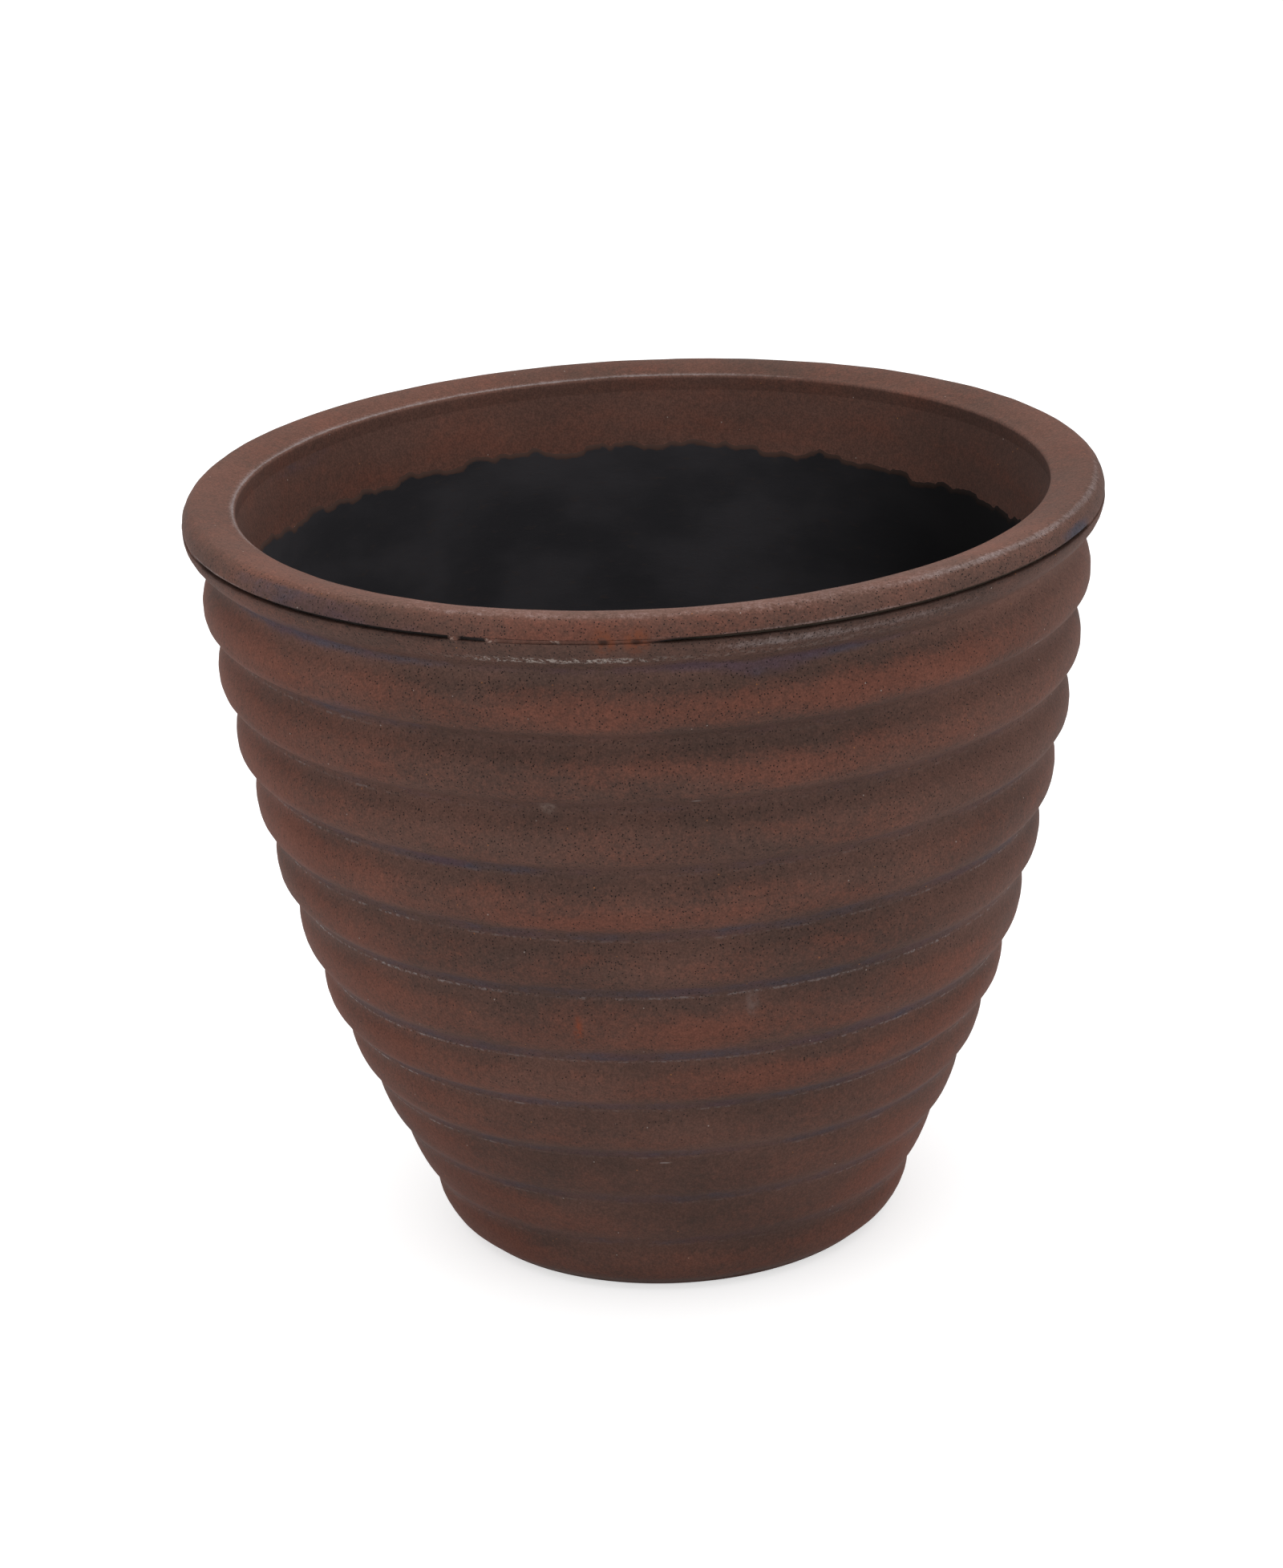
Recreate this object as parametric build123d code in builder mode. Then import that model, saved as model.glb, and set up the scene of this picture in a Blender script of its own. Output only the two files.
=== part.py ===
from build123d import *
from math import cos, pi, sin
import os

os.makedirs("parts", exist_ok=True)

# A tapering ribbed planter of fibre clay. Sizes are in millimetres, radii are from the
# vertical axis, and heights are up from the surface that the foot stands on.

height = 480.4              # of the whole planter, to the top of its rim

# Outside of the body, read at the grooves between the ribs. The ribs' heights beside each
# other and how far each stands out are listed from the foot up.
foot_radius = 132.5
belly = 25.9                # how far the body swells past a straight cone
belly_lean = 0.2            # moves the fullest part of the swell towards the foot
rib_shares = [38.2, 37.2, 37.3, 37.2, 36.7, 46.6, 39.2, 44.0, 41.2, 43.1, 42.5]
rib_depths = [5.6, 2.4, 2.9, 4.8, 6.3, 6.7, 7.0, 7.9, 9.4, 10.8, 11.8]
crest_place = 0.36          # a rib stands furthest out this share of the way up it
crest_round = 0.62          # fullness of the curve at a crest
groove_round = 0.39         # fullness of the curve in a groove
foot_edge_round = 3.0

# The bead round the mouth: its lower half belongs to the wall, its upper half is the rim
bead_radius = 280.0
bead_overhang = 18.0        # from the neck out to the bead's face
bead_underside = 9.0        # height over which the overhang swings out from the neck
rim_width = 33.0            # from the bead's face in to the mouth
seam_above_neck = 23.7      # middle of the slit between wall and rim
seam_gap = 2.4              # bed of filler between wall and rim
crown_above_seam = 13.5
crown_inset = 8.5           # the highest ring of the rim lies this far in from the bead's face
crown_fall = 4.5            # the rim's top slopes down by this much to the mouth
mouth_edge_round = 2.5

# The tongue on the wall that keeps the rim in line, and its slot in the rim
tongue_inset = 10.0         # from the mouth to the tongue
tongue_width = 10.0
tongue_height = 4.5
tongue_side_gap = 1.2

# Filler in the rim's seam
slit_depth = 4.0            # how far the filler lies back from the face of the bead
patch_start = -113.5        # the stretch where the filler comes out to the face, in degrees
patch_sweep = 22.6

# Inside of the body
wall_thickness = 19.0       # at a groove
ledge_height = 12.0         # top of the foot's ledge, which carries the floor slab
ledge_width = 18.0          # how far the ledge reaches in under the slab
slab_thickness = 22.0
slab_gap = 2.0              # bed of mortar round and under the slab
drain_hole_radius = 16.0

# Waterproof coat brushed on the inside
coat_thickness = 0.8
bare_band = 46.0            # from the mouth down to the coat's upper edge
coat_drain_margin = 4.0     # bare clay left round the drain hole

# Places that follow from the sizes above
neck_radius = bead_radius - bead_overhang
mouth_radius = bead_radius - rim_width
crown_radius = bead_radius - crown_inset
rim_top = height
seam_height = rim_top - crown_above_seam
neck_height = seam_height - seam_above_neck
rib_heights = [neck_height * share / sum(rib_shares) for share in rib_shares]
wall_top = seam_height - seam_gap / 2
rim_bottom = seam_height + seam_gap / 2
mouth_height = rim_top - crown_fall
tongue_inner_radius = mouth_radius + tongue_inset
tongue_outer_radius = tongue_inner_radius + tongue_width
tongue_top = wall_top + tongue_height
slot_inner_radius = tongue_inner_radius - tongue_side_gap
slot_outer_radius = tongue_outer_radius + tongue_side_gap
slot_top = tongue_top + seam_gap
slab_bottom = ledge_height + slab_gap
slab_top = slab_bottom + slab_thickness
coat_top = mouth_height - bare_band
past = 5.0                  # how far a cutting or filling shape runs on past what it meets


def groove_radius(height):
    """Outside radius of the body without its ribs."""
    up = height / neck_height
    swell = 4 * belly * up * (1 - up) * (1 + belly_lean * (1 - 2 * up))
    return foot_radius + (neck_radius - foot_radius) * up + swell


def inner_radius(height):
    """Inside radius of the wall, one wall thickness in from the grooves."""
    return groove_radius(height) - wall_thickness


def inner_points(bottom, top, count, inset=0.0):
    """Points up the inside of the wall, evenly spaced."""
    step = (top - bottom) / (count - 1)
    return [(inner_radius(bottom + step * i) - inset, bottom + step * i) for i in range(count)]


# The wall: foot, ribs, neck and the lower half of the bead, with the tongue that holds the rim
ledge_radius = inner_radius(ledge_height) - ledge_width
with BuildPart() as ribbed_wall:
    with BuildSketch(Plane.XZ) as wall_section:
        with BuildLine():
            groove = Vector(foot_radius, 0)
            for rib_height, rib_depth in zip(rib_heights, rib_depths):
                top = groove.Y + rib_height
                next_groove = Vector(groove_radius(top), top)
                rise = next_groove - groove
                crest = groove + rise * crest_place + Vector(rib_depth, 0)
                below = rise * crest_place
                above = rise * (1 - crest_place)
                Bezier(groove, groove + below * groove_round, crest - below * crest_round, crest)
                Bezier(crest, crest + above * crest_round, next_groove - above * groove_round, next_groove)
                groove = next_groove
            neck = groove
            bead_low = Vector(bead_radius, neck.Y + bead_underside)
            Bezier(neck, neck + Vector(0, bead_underside / 2), bead_low, (bead_radius, wall_top))
            Polyline(
                (bead_radius, wall_top),
                (tongue_outer_radius, wall_top),
                (tongue_outer_radius, tongue_top),
                (tongue_inner_radius, tongue_top),
                (tongue_inner_radius, wall_top),
                (mouth_radius, wall_top),
                (inner_radius(neck_height), neck_height),
            )
            Spline(inner_points(ledge_height, neck_height, 7))
            Polyline(
                (inner_radius(ledge_height), ledge_height),
                (ledge_radius, ledge_height),
                (ledge_radius, 0),
                (foot_radius, 0),
            )
        make_face()
    revolve(axis=Axis.Z)
    foot_edges = ribbed_wall.edges().filter_by(GeomType.CIRCLE).group_by(Axis.Z)[0]
    fillet(foot_edges.sort_by(SortBy.RADIUS)[-1], foot_edge_round)
ribbed_wall.part.label = "ribbed_wall"
export_step(ribbed_wall.part, "parts/ribbed_wall.step")


# The floor slab, dropped in from above on to the foot's ledge
with BuildPart() as base_slab:
    with BuildSketch(Plane.XZ):
        with BuildLine():
            Polyline(
                (drain_hole_radius, slab_top),
                (drain_hole_radius, slab_bottom),
                (inner_radius(slab_bottom) - slab_gap, slab_bottom),
                (inner_radius(slab_top) - slab_gap, slab_top),
                close=True,
            )
        make_face()
    revolve(axis=Axis.Z)
base_slab.part.label = "base_slab"
export_step(base_slab.part, "parts/base_slab.step")


# The bed of mortar that the slab sits in, between it and the wall
with BuildPart() as base_bedding:
    with BuildSketch(Plane.XZ):
        with BuildLine():
            Polyline(
                (ledge_radius, ledge_height),
                (inner_radius(ledge_height) + past, ledge_height),
                (inner_radius(slab_top) + past, slab_top),
                (inner_radius(slab_top) - slab_gap - past, slab_top),
                (ledge_radius, slab_bottom),
                close=True,
            )
        make_face()
    revolve(axis=Axis.Z)
    add(ribbed_wall.part, mode=Mode.SUBTRACT)
    add(base_slab.part, mode=Mode.SUBTRACT)
base_bedding.part.label = "base_bedding"
export_step(base_bedding.part, "parts/base_bedding.step")


# The rim: the upper half of the bead, with a slot underneath for the wall's tongue
with BuildPart() as rim_ring:
    with BuildSketch(Plane.XZ):
        with BuildLine():
            crown = Vector(crown_radius, rim_top)
            mouth = Vector(mouth_radius + mouth_edge_round, mouth_height)
            shoulder = Vector((bead_radius + crown_radius) / 2, rim_top)
            side = Vector(bead_radius, (rim_bottom + rim_top) / 2)
            dip = Vector((crown_radius - mouth.X) / 2, 0)
            Bezier((bead_radius, rim_bottom), side, shoulder, crown)
            Bezier(crown, crown - dip, mouth + dip / 2 + Vector(0, crown_fall / 4), mouth)
            ThreePointArc(
                mouth,
                mouth + Vector(-sin(pi / 4), cos(pi / 4) - 1) * mouth_edge_round,
                (mouth_radius, mouth_height - mouth_edge_round),
            )
            Polyline(
                (mouth_radius, mouth_height - mouth_edge_round),
                (mouth_radius, rim_bottom),
                (slot_inner_radius, rim_bottom),
                (slot_inner_radius, slot_top),
                (slot_outer_radius, slot_top),
                (slot_outer_radius, rim_bottom),
                (bead_radius, rim_bottom),
            )
        make_face()
    revolve(axis=Axis.Z)
rim_ring.part.label = "rim_ring"
export_step(rim_ring.part, "parts/rim_ring.step")


# The filler between wall and rim. It lies back from the bead's face, which leaves a dark
# slit, and comes out to the face along one patched stretch at the front.
with BuildPart() as rim_joint_filler:
    with BuildSketch(Plane.XZ):
        with BuildLine():
            Polyline(
                (mouth_radius, wall_top),
                (bead_radius - slit_depth, wall_top),
                (bead_radius - slit_depth, rim_bottom),
                (slot_outer_radius, slot_top),
                (slot_inner_radius, slot_top),
                (mouth_radius, rim_bottom),
                close=True,
            )
        make_face()
    revolve(axis=Axis.Z)
    with BuildSketch(Plane.XZ.rotated((0, 0, patch_start))):
        with BuildLine():
            Polyline(
                (slot_outer_radius, wall_top),
                (bead_radius, wall_top),
                (bead_radius, rim_bottom),
                (slot_outer_radius, rim_bottom),
                close=True,
            )
        make_face()
    revolve(axis=Axis.Z, revolution_arc=patch_sweep)
    add(ribbed_wall.part, mode=Mode.SUBTRACT)
    add(rim_ring.part, mode=Mode.SUBTRACT)
rim_joint_filler.part.label = "rim_joint_filler"
export_step(rim_joint_filler.part, "parts/rim_joint_filler.step")


# The black waterproof coat brushed over the slab and up the wall
with BuildPart() as sealer_coat:
    with BuildSketch(Plane.XZ):
        coat_floor = slab_top + coat_thickness
        coat_hole_radius = drain_hole_radius + coat_drain_margin
        with BuildLine():
            face = Spline(inner_points(coat_floor, coat_top, 7, coat_thickness))
            back = Spline(inner_points(slab_top, coat_top, 7, -past))
            Line(face @ 1, back @ 1)
            Polyline(back @ 0, (coat_hole_radius, slab_top), (coat_hole_radius, coat_floor), face @ 0)
        make_face()
    revolve(axis=Axis.Z)
    add(ribbed_wall.part, mode=Mode.SUBTRACT)
    add(base_slab.part, mode=Mode.SUBTRACT)
    add(base_bedding.part, mode=Mode.SUBTRACT)
sealer_coat.part.label = "sealer_coat"
export_step(sealer_coat.part, "parts/sealer_coat.step")
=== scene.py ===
from math import atan2, cos, degrees, exp, hypot, pi, radians, sin

import bmesh
import bpy
from mathutils import Matrix, Vector, noise
from mathutils.geometry import interpolate_bezier


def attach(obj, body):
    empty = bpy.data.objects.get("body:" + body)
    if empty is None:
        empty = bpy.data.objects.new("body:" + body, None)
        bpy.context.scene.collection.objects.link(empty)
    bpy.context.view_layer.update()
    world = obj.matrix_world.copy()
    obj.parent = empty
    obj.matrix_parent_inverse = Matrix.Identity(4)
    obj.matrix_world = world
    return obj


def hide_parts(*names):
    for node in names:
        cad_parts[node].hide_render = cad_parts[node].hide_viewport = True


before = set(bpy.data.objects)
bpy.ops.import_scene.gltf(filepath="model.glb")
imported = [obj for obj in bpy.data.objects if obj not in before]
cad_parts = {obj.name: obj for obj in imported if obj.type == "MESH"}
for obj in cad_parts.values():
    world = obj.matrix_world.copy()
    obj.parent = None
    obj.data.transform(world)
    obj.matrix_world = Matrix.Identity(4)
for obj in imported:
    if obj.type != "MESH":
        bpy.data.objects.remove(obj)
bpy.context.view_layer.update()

# A ribbed planter of fibre clay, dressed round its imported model. Shapes are written in
# millimetres and turned to metres as the points are made. Angles go round the pot from its
# front, in degrees, and are positive to the right.
mm = 0.001


# Camera

cameraFit = {
    "focal": 5600.0, "imageHeight": 1955.0, "sensor": 36.0,     # focal length in pixels of the photograph
    "place": (0.0, -2.6224, 1.2483), "down": 20.255, "turn": 0.195, "roll": -2.682,
}


def makeCamera(fit):
    data = bpy.data.cameras.new("photoCamera")
    data.sensor_width = fit["sensor"]
    data.lens = fit["focal"] / fit["imageHeight"] * fit["sensor"]
    camera = bpy.data.objects.new("photoCamera", data)
    bpy.context.scene.collection.objects.link(camera)
    camera.matrix_world = (
        Matrix.Translation(fit["place"])
        @ Matrix.Rotation(radians(fit["turn"]), 4, "Z")
        @ Matrix.Rotation(radians(90 - fit["down"]), 4, "X")
        @ Matrix.Rotation(radians(fit["roll"]), 4, "Z")
    )
    bpy.context.scene.camera = camera


makeCamera(cameraFit)
bpy.context.scene.view_settings.view_transform = "Standard"
print("camera set")


# Sizes that every piece is drawn from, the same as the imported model's

body = {
    "foot": 132.5, "neck": 262.0, "neckHeight": 443.2, "belly": 25.9, "bellyLean": 0.2,
    "ribHeights": (38.2, 37.2, 37.3, 37.2, 36.7, 46.6, 39.2, 44.0, 41.2, 43.1, 42.5),
    "ribDepths": (5.6, 2.4, 2.9, 4.8, 6.3, 6.7, 7.0, 7.9, 9.4, 10.8, 11.8),
    "crestPlace": 0.36, "crestRound": 0.62, "grooveRound": 0.39,
    "wall": 19.0, "ledgeHeight": 12.0, "ledgeWidth": 18.0, "footEdge": 3.0,
}
bead = {
    "radius": 280.0, "underside": 9.0, "crown": 271.5, "top": 480.4, "mouth": 247.0, "mouthTop": 475.9,
    "mouthEdge": 2.5, "lowerLip": 465.7, "upperLip": 468.1, "lipEdge": 0.5,
    "tongueIn": 257.0, "tongueOut": 267.0, "tongueTop": 470.2, "slotGap": 1.2, "slotTop": 472.6,
}

# Each point carries its place on the profile, which its finish and its unevenness follow: 0 to 11
# up the ribs, 11 to 12 up the bead's lower half, and on the rim 20 at the lower lip, 21 at the
# crown, 22 at the mouth's edge and 23 inside
noPlace = -1.0
neckPlace = 11.0
lipPlace = 12.0
slitPlace = 12.4        # the wall's flat top, seen inside the open slit
rimPlace = 20.0

# How far back the filler lies in the rim's seam, in mm, at its bottom and at its top, by angle
seamDepth = {
    "low": ((-180, 0.9), (-72, 1.0), (-66, 4), (-24, 4), (-23.4, 0.5), (-22.4, 0.5), (-22, 2.6), (-19.2, 2.4),
            (-18.8, 0.3), (-17.6, 0.8), (-11.5, 1.2), (-11, 1.6), (-10, 1.2), (-1.2, 1.2), (0.5, 1.8),
            (3.5, 4), (42, 4), (66.6, 3.2), (70, 1), (180, 0.9)),
    "high": ((-180, 0.5), (-72, 0.6), (-66, 4), (-24, 4), (-23.4, 0.2), (-22.4, 0.3), (-22, 2.2), (-19.2, 2.0),
             (-18.8, 0.2), (-17.6, 0.1), (-11.5, 0.1), (-11, 0.6), (-10, 0.2), (-1.2, 0.1), (0.5, 0.3),
             (3.5, 1.0), (6, 4), (42, 4), (66.6, 3.0), (70, 0.6), (180, 0.5)),
}


def grooveRadius(height):
    up = height / body["neckHeight"]
    swell = 4 * body["belly"] * up * (1 - up) * (1 + body["bellyLean"] * (1 - 2 * up))
    return body["foot"] + (body["neck"] - body["foot"]) * up + swell


def innerRadius(height):
    if height <= body["neckHeight"]:
        return grooveRadius(height) - body["wall"]
    up = (height - body["neckHeight"]) / (bead["lowerLip"] - body["neckHeight"])
    low = body["neck"] - body["wall"]
    return low + (bead["mouth"] - low) * up


def bezierRun(corners, count):
    # corners are start, its handle, the end's handle and end, as (radius, height)
    points = interpolate_bezier(*[Vector((radius, 0, height)) for radius, height in corners], count)
    return [(point.x, point.z) for point in points]


def frontAngle(point):
    return degrees(atan2(point.x, -point.y))


def radiusOf(vert):
    return hypot(vert.co.x, vert.co.y) / mm


def setRadius(vert, radius):
    # moves a point straight in or out
    share = radius / radiusOf(vert)
    vert.co.x *= share
    vert.co.y *= share


def between(stops, value):
    # straight-line reading of a table of (value, reading) stops
    for (lowAt, low), (highAt, high) in zip(stops, stops[1:]):
        if value <= highAt:
            share = max(0.0, (value - lowAt) / (highAt - lowAt))
            return low + (high - low) * share
    return stops[-1][1]


def smooth(low, high, value):
    # 0 at low, 1 at high, and an even curve between them
    share = min(1.0, max(0.0, (value - low) / (high - low)))
    return share * share * (3 - 2 * share)


def hump(value, middle, reach):
    # 1 at the middle, dying away over the reach to each side
    return exp(-((value - middle) / reach) ** 2)


def seamOpen(angle):
    # 1 where the seam is an open slit, 0 where it is filled
    return smooth(1.5, 3.2, between(seamDepth["low"], angle))


def ringNoise(angle, around, up, seed):
    # smooth noise round the pot with no seam, about -1 to 1
    turn = radians(angle)
    return noise.noise(Vector((cos(turn) * around + seed, sin(turn) * around - seed, up)))


def lumpNoise(vert, size):
    return noise.noise(vert.co / (size * mm))


def spunPiece(profile, steps, roundings=()):
    # profile is a closed run of (radius, height, place); roundings are rings to soften
    mesh = bmesh.new()
    placeLayer = mesh.verts.layers.float.new("ribPlace")
    start = []
    for radius, height, place in profile:
        vert = mesh.verts.new((radius * mm, 0, height * mm))
        vert[placeLayer] = place
        start.append(vert)
    edges = [mesh.edges.new(pair) for pair in zip(start, start[1:] + start[:1])]
    bmesh.ops.spin(mesh, geom=start + edges, cent=(0, 0, 0), axis=(0, 0, 1), dvec=(0, 0, 0),
                   angle=2 * pi, steps=steps, use_merge=True, use_duplicate=False)
    bmesh.ops.remove_doubles(mesh, verts=mesh.verts, dist=0.01 * mm)
    near = 0.02         # mm
    for radius, height, size in roundings:
        ring = [edge for edge in mesh.edges if all(
            abs(radiusOf(vert) - radius) < near and abs(vert.co.z / mm - height) < near for vert in edge.verts)]
        bmesh.ops.bevel(mesh, geom=ring, offset=size * mm, offset_type="OFFSET", segments=3,
                        profile=0.5, affect="EDGES", material=-1, clamp_overlap=True)
    bmesh.ops.recalc_face_normals(mesh, faces=mesh.faces)
    return mesh, placeLayer


def finishPiece(name, mesh, material, sharpAngle=50):
    data = bpy.data.meshes.new(name)
    for face in mesh.faces:
        face.smooth = True
    mesh.to_mesh(data)
    mesh.free()
    data.set_sharp_from_angle(angle=radians(sharpAngle))
    data.materials.append(material)
    piece = bpy.data.objects.new(name, data)
    bpy.context.scene.collection.objects.link(piece)
    return piece


# Materials

def srgb(code):
    # hex code to linear colour
    parts = [int(code[at:at + 2], 16) / 255 for at in (1, 3, 5)]
    return [part / 12.92 if part <= 0.04045 else ((part + 0.055) / 1.055) ** 2.4 for part in parts] + [1.0]


def addNode(tree, kind, settings=None, links=None, output=0):
    # links are plain values or the outputs of other nodes; the chosen output comes back
    node = tree.nodes.new(kind)
    for name, value in (settings or {}).items():
        setattr(node, name, value)
    for name, value in (links or {}).items():
        if isinstance(value, bpy.types.NodeSocket):
            tree.links.new(value, node.inputs[name])
        else:
            node.inputs[name].default_value = value
    return node.outputs[output] if node.outputs else None


def newFinish(name):
    material = bpy.data.materials.new(name)
    material.use_nodes = True
    tree = material.node_tree
    tree.nodes.clear()
    return material, tree


def layWashes(tree, ground, washes):
    # lays washes over the ground, each a hex code or a made-up colour, through its own mask
    for colour, mask in washes:
        colour = srgb(colour) if isinstance(colour, str) else colour
        ground = addNode(tree, "ShaderNodeMixRGB", {}, {"Fac": mask, "Color1": ground, "Color2": colour})
    return ground


def leanOn(tree, base, parts):
    # adds patterns to a base, each by its share
    for part, share in parts:
        base = addNode(tree, "ShaderNodeMath", {"operation": "MULTIPLY_ADD"}, {0: part, 1: share, 2: base})
    return base


def washMask(tree, base, low, high, least=0.0, most=1.0, parts=(), within=()):
    # where a wash takes: the base with its share of other patterns, faded in from low to high,
    # and then held within other masks
    mask = addNode(tree, "ShaderNodeMapRange", {"interpolation_type": "SMOOTHSTEP"},
                   {"Value": leanOn(tree, base, parts), "From Min": low, "From Max": high,
                    "To Min": least, "To Max": most})
    for other in within:
        mask = addNode(tree, "ShaderNodeMath", {"operation": "MULTIPLY"}, {0: mask, 1: other})
    return mask


def mottling(tree, place, size, stretch=1.0, detail=3.0, rough=0.55, shift=0.0):
    # size is the pattern's size in mm along the ribs, and stretch how much longer than high
    moved = addNode(tree, "ShaderNodeMapping", {},
                    {"Vector": place, "Location": (shift, -shift, shift), "Scale": (1, 1, stretch)})
    return addNode(tree, "ShaderNodeTexNoise", {},
                   {"Vector": moved, "Scale": 1 / (size * mm), "Detail": detail, "Roughness": rough})


def dabAt(tree, place, spot, reach, stretch=(1, 1, 1), most=1.0, within=()):
    # mask of a soft dab round a spot (angle, height, radius): reach in mm, widened per axis
    angle, height, radius = spot
    turn = radians(angle)
    centre = Vector((radius * sin(turn), -radius * cos(turn), height)) * mm
    scale = [1 / (reach * mm * part) for part in stretch]
    away = addNode(tree, "ShaderNodeVectorMath", {"operation": "SUBTRACT"}, {0: place, 1: centre})
    away = addNode(tree, "ShaderNodeVectorMath", {"operation": "MULTIPLY"}, {0: away, 1: scale})
    distance = addNode(tree, "ShaderNodeVectorMath", {"operation": "LENGTH"}, {0: away}, "Value")
    return washMask(tree, distance, 1.0, 0.25, 0.0, most, within=within)


washColours = {
    "olive": "#523e37", "redBrown": "#5f433a", "orange": "#704437", "purple": "#4c3b42",
    "blue": "#403e48", "chalk": "#857a78", "lime": "#867a78", "pit": "#120e0d", "speckOrange": "#a0683f",
    "speckPale": "#a3968f", "rimOlive": "#584239", "rimRed": "#66453a",
}
# size in mm, how much longer than high, detail, roughness and shift
washPatterns = {
    "broad": (120, 2.2, 3, 0.55, 0.31), "mottle": (26, 2.0, 4, 0.62, 1.7), "cloud": (55, 2.6, 3, 0.55, 4.1),
    "grain": (1.3, 1.0, 2, 0.7),        # sand grain, drawn twice its real size so that it shows
    "speckle": (4.0, 1.0, 4, 0.75, 2.2), "crumbs": (3.6, 1.0, 3, 0.75, 3.3),
}
# by painted reading: its share of each pattern, where it starts, where it is full and how strong
washSpread = {
    "warm": ({"mottle": 0.8, "broad": 1.0, "speckle": 0.5}, 0.95, 1.6, 1.0),
    "rust": ({"cloud": 0.9, "speckle": 0.6, "grain": 0.25}, 1.0, 1.65, 0.9),
    "dampAndShade": ({"mottle": 0.9, "speckle": 0.45}, 0.95, 1.6, 0.95),
    "dustAndLight": ({"speckle": 0.7, "mottle": 0.4, "grain": 0.3}, 1.0, 1.6, 0.85),
}
grainSpacing = {"pinholes": 1.9, "strays": 11.0}        # in mm
weatherAndShadeNames = ("rust", "dampAndShade", "chalk", "pits", "warm", "dustAndLight", "shade")


def rustWash(tree):
    # A rust-coloured wash rubbed by hand over cast fibre clay: mottled brown, warmer where the
    # wash lies thick, blue-grey where it has run off, with black pinholes left by air in the mould
    tint = washColours
    place = addNode(tree, "ShaderNodeTexCoord", output="Object")
    reading = {name: addNode(tree, "ShaderNodeAttribute", {"attribute_name": name}, output="Fac")
               for name in ("ribPlace",) + weatherAndShadeNames}
    pattern = {name: mottling(tree, place, *settings) for name, settings in washPatterns.items()}
    spread = {}
    for name, (shares, low, high, most) in washSpread.items():
        parts = [(pattern[part], share) for part, share in shares.items()]
        spread[name] = washMask(tree, reading[name], low, high, 0.0, most, parts)

    # ground: olive-brown to red-brown, paler on the rim's top
    wallGround = layWashes(tree, srgb(tint["olive"]), [(tint["redBrown"], spread["warm"])])
    rimGround = layWashes(tree, srgb(tint["rimOlive"]), [(tint["rimRed"], spread["warm"])])
    onRim = washMask(tree, reading["ribPlace"], rimPlace + 0.3, rimPlace + 0.9, within=[
        washMask(tree, reading["ribPlace"], rimPlace + 2.7, rimPlace + 2.3)])

    # the body's blue-grey, and the broken line of lime on each groove's lower lip and crust
    # along the bead's lower edge
    bluish = layWashes(tree, srgb(tint["purple"]), [
        (tint["blue"], washMask(tree, pattern["cloud"], 0.42, 0.6))])
    upRib = addNode(tree, "ShaderNodeMath", {"operation": "FRACT"},
                    {0: leanOn(tree, reading["ribPlace"], [(pattern["speckle"], 0.05)])})
    limeLine = washMask(tree, upRib, 0.955, 0.985, within=[
        washMask(tree, reading["ribPlace"], neckPlace - 0.1, neckPlace - 0.2), reading["chalk"],
        washMask(tree, pattern["crumbs"], 0.44, 0.62),
        washMask(tree, pattern["mottle"], 0.4, 0.55, 0.25, 1.0)])
    edge = leanOn(tree, reading["ribPlace"], [(pattern["speckle"], 0.16)])
    crust = washMask(tree, edge, neckPlace + 0.46, neckPlace + 0.54, within=[
        washMask(tree, edge, neckPlace + 0.72, neckPlace + 0.62), reading["chalk"],
        washMask(tree, pattern["crumbs"], 0.47, 0.64, 0.0, 0.9)])

    # pinholes, and stray grains of rust and lime
    pinholes, strays = [
        addNode(tree, "ShaderNodeTexVoronoi", {}, {"Vector": place, "Scale": 1 / (grainSpacing[name] * mm)})
        for name in ("pinholes", "strays")]
    pinholeDraw, strayDraw = [
        addNode(tree, "ShaderNodeSeparateColor", {}, {"Color": cells.node.outputs["Color"]})
        for cells in (pinholes, strays)]
    pits = washMask(tree, pinholes, 0.27, 0.17, within=[
        washMask(tree, reading["pits"], -0.05, 0.05, 0.0, 0.95, [(pinholeDraw, -1.0)])])
    strayMask = washMask(tree, strays, 0.050, 0.032, 0.0, 0.8)
    strayColour = layWashes(tree, srgb(tint["speckOrange"]), [
        (tint["speckPale"], washMask(tree, strayDraw, 0.6, 0.62))])

    # light and dark: grainy and cloudy over everything, times the painted light and shade of the shade reading
    tone = washMask(tree, pattern["grain"], 0.3, 0.7, 0.80, 1.20, within=[
        washMask(tree, pattern["broad"], 0.3, 0.7, 0.90, 1.10),
        washMask(tree, pattern["speckle"], 0.3, 0.7, 0.90, 1.10), reading["shade"]])
    colour = layWashes(tree, wallGround, [
        (rimGround, onRim), (tint["orange"], spread["rust"]), (bluish, spread["dampAndShade"]),
        (tint["lime"], spread["dustAndLight"])])
    colour = addNode(tree, "ShaderNodeVectorMath", {"operation": "MULTIPLY"}, {0: colour, 1: tone})
    colour = layWashes(tree, colour, [
        (tint["chalk"], limeLine), (tint["speckPale"], crust), (strayColour, strayMask), (tint["pit"], pits)])
    relief = leanOn(tree, 0.0, [(crust, 0.8), (pattern["grain"], 0.5), (pattern["speckle"], 0.7), (pits, -1.0)])
    return place, reading, colour, relief


def matteShader(material, tree, colour, relief, roughness=0.78, depth=0.35, gloss=0.2):
    # depth is the relief's in mm
    normal = addNode(tree, "ShaderNodeBump", {}, {"Height": relief, "Strength": 0.6, "Distance": depth * mm})
    shader = addNode(tree, "ShaderNodeBsdfPrincipled", {},
                     {"Base Color": colour, "Roughness": roughness, "IOR": 1.5, "Specular IOR Level": gloss,
                      "Normal": normal})
    addNode(tree, "ShaderNodeOutputMaterial", {}, {"Surface": shader})
    return material


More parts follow.
